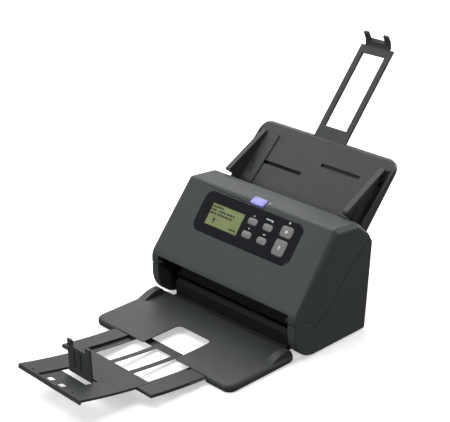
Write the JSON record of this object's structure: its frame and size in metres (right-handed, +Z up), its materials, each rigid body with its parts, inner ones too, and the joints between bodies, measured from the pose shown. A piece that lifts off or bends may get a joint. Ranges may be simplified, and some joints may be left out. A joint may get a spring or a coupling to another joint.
{
  "type": "sheet fed document scanner",
  "caption": "Desktop document scanner that feeds sheets from a sloping rear tray past sensors onto a curved front tray, with an opening front unit and a sloping key panel.",
  "frame": {"origin": "on the table under the middle of the whole machine, trays and extensions out", "axes": "+Z up, -Y towards the user, +X to the user's right"},
  "size_m": [0.28, 0.6016, 0.3456],
  "materials": {
    "casing": "fine texture, satin charcoal",
    "dark_plastic": "fine texture, dark grey",
    "black_plastic": "smooth black",
    "gloss_panel": "high gloss black",
    "display": "olive display behind a clear window",
    "key_plastic": "satin mid grey",
    "lens": "translucent lilac, lit",
    "rubber": "matt",
    "steel": "brushed",
    "glass": "clear",
    "circuit_board": "solder-masked"
  },
  "bodies": {
    "base": {"base_frame": "dark_plastic", "side_cover_left": "casing", "side_cover_right": "casing", "rear_cover": "casing", "foot_front_left": "rubber", "foot_front_right": "rubber", "foot_rear_left": "rubber", "foot_rear_right": "rubber", "hinge_pin_left": "steel", "hinge_pin_right": "steel", "dc_jack": "black_plastic", "usb_port": "steel", "main_board": "circuit_board", "lower_guide": "black_plastic", "lower_scan_unit": "black_plastic", "lower_glass": "glass", "drive_motor": "steel", "drive_belt": "rubber", "feed_tray": "dark_plastic", "feed_tray_underside": "dark_plastic", "eject_tray": "dark_plastic"},
    "front_unit": {"front_cover": "casing", "upper_guide": "black_plastic", "upper_scan_unit": "black_plastic", "upper_glass": "glass", "control_panel": "gloss_panel", "lcd_display": "display", "panel_board": "circuit_board"},
    "motor_shaft": {"motor_pulley": "steel"},
    "feed_drive": {"feed_roller": "rubber", "feed_pulley": "black_plastic"},
    "registration_drive": {"registration_roller": "rubber", "registration_pulley": "black_plastic"},
    "eject_drive": {"eject_roller": "rubber", "eject_pulley": "black_plastic"},
    "retard": {"retard_roller": "rubber"},
    "registration_pinch": {"registration_pinch_roller": "rubber"},
    "eject_pinch": {"eject_pinch_roller": "rubber"},
    "guide_right": {"guide_right": "dark_plastic", "guide_rack_right": "black_plastic"},
    "guide_left": {"guide_left": "dark_plastic", "guide_rack_left": "black_plastic"},
    "guide_gear": {"guide_pinion": "black_plastic"},
    "feed_extension": {"feed_extension": "dark_plastic"},
    "eject_stage_1": {"eject_extension_1": "dark_plastic"},
    "eject_stage_2": {"eject_extension_2": "dark_plastic"},
    "stopper": {"eject_stopper": "dark_plastic"},
    "open_lever": {"open_lever": "dark_plastic"},
    "power_button": {"power_button": "lens"},
    "button_up": {"button_up": "key_plastic"},
    "button_menu": {"button_menu": "key_plastic"},
    "button_down": {"button_down": "key_plastic"},
    "button_ok": {"button_ok": "key_plastic"},
    "button_stop": {"button_stop": "key_plastic"},
    "button_start": {"button_start": "key_plastic"}
  },
  "joints": [
    {"name": "front_unit_hinge", "type": "hinge", "parent": "base", "child": "front_unit", "pos_m": [0, -0.0118, 0.0565], "axis": [1, 0, 0], "range_deg": [0, 60]},
    {"name": "button_up_press", "type": "slide", "parent": "front_unit", "child": "button_up", "axis": [0, 0.7786, -0.6275], "range_m": [0, 0.0008], "stiffness_N_per_m": 400},
    {"name": "button_menu_press", "type": "slide", "parent": "front_unit", "child": "button_menu", "axis": [0, 0.7786, -0.6275], "range_m": [0, 0.0008], "stiffness_N_per_m": 400},
    {"name": "button_down_press", "type": "slide", "parent": "front_unit", "child": "button_down", "axis": [0, 0.7786, -0.6275], "range_m": [0, 0.0008], "stiffness_N_per_m": 400},
    {"name": "button_ok_press", "type": "slide", "parent": "front_unit", "child": "button_ok", "axis": [0, 0.7786, -0.6275], "range_m": [0, 0.0008], "stiffness_N_per_m": 400},
    {"name": "button_stop_press", "type": "slide", "parent": "front_unit", "child": "button_stop", "axis": [0, 0.7786, -0.6275], "range_m": [0, 0.0008], "stiffness_N_per_m": 400},
    {"name": "button_start_press", "type": "slide", "parent": "front_unit", "child": "button_start", "axis": [0, 0.7786, -0.6275], "range_m": [0, 0.0008], "stiffness_N_per_m": 400},
    {"name": "power_button_press", "type": "slide", "parent": "front_unit", "child": "power_button", "axis": [0, 0.387, -0.9221], "range_m": [0, 0.0008], "stiffness_N_per_m": 400},
    {"name": "open_lever_pull", "type": "hinge", "parent": "front_unit", "child": "open_lever", "pos_m": [-0.1352, 0.0935, 0.1385], "axis": [0, 0, 1], "range_deg": [0, 15], "stiffness_Nm_per_rad": 0.05},
    {"name": "feed_drive_spin", "type": "hinge", "parent": "base", "child": "feed_drive", "pos_m": [0, 0.10506, 0.12515], "axis": [1, 0, 0], "continuous": true},
    {"name": "registration_drive_spin", "type": "hinge", "parent": "base", "child": "registration_drive", "pos_m": [0, 0.08372, 0.10397], "axis": [1, 0, 0], "continuous": true},
    {"name": "eject_drive_spin", "type": "hinge", "parent": "base", "child": "eject_drive", "pos_m": [0, 0.04404, 0.05896], "axis": [1, 0, 0], "continuous": true},
    {"name": "retard_spin", "type": "hinge", "parent": "front_unit", "child": "retard", "pos_m": [0, 0.09111, 0.13745], "axis": [1, 0, 0], "continuous": true},
    {"name": "registration_pinch_spin", "type": "hinge", "parent": "front_unit", "child": "registration_pinch", "pos_m": [0, 0.07352, 0.11296], "axis": [1, 0, 0], "continuous": true},
    {"name": "eject_pinch_spin", "type": "hinge", "parent": "front_unit", "child": "eject_pinch", "pos_m": [0, 0.03384, 0.06795], "axis": [1, 0, 0], "continuous": true},
    {"name": "motor_spin", "type": "hinge", "parent": "base", "child": "motor_shaft", "pos_m": [0, 0.0673, 0.034], "axis": [1, 0, 0], "continuous": true},
    {"name": "guide_right_slide", "type": "slide", "parent": "base", "child": "guide_right", "axis": [1, 0, 0], "range_m": [-0.076, 0.003]},
    {"name": "guide_left_slide", "type": "slide", "parent": "base", "child": "guide_left", "axis": [1, 0, 0], "range_m": [-0.003, 0.076]},
    {"name": "guide_pinion_spin", "type": "hinge", "parent": "base", "child": "guide_gear", "pos_m": [0, 0.16452, 0.17671], "axis": [0, -0.7501, 0.6613], "range_deg": [-40, 560]},
    {"name": "feed_extension_slide", "type": "slide", "parent": "base", "child": "feed_extension", "axis": [0, 0.6613, 0.7501], "range_m": [-0.145, 0]},
    {"name": "eject_stage_1_slide", "type": "hinge", "parent": "base", "child": "eject_stage_1", "pos_m": [0, -0.0307, 1.085], "axis": [1, 0, 0], "range_deg": [0, 4.62]},
    {"name": "eject_stage_2_slide", "type": "hinge", "parent": "eject_stage_1", "child": "eject_stage_2", "pos_m": [0, -0.0307, 1.085], "axis": [1, 0, 0], "range_deg": [0, 4.52]},
    {"name": "stopper_fold", "type": "hinge", "parent": "eject_stage_2", "child": "stopper", "pos_m": [0, -0.2507, 0.02603], "axis": [1, 0, 0], "range_deg": [0, 69]}
  ],
  "couplings": [
    {"joint": "registration_drive_spin", "follows": "feed_drive_spin", "ratio": 1.2727},
    {"joint": "eject_drive_spin", "follows": "feed_drive_spin", "ratio": 1},
    {"joint": "motor_spin", "follows": "feed_drive_spin", "ratio": 1.4},
    {"joint": "guide_left_slide", "follows": "guide_right_slide", "ratio": -1},
    {"joint": "guide_pinion_spin", "follows": "guide_right_slide", "rad_per_m": -125}
  ]
}
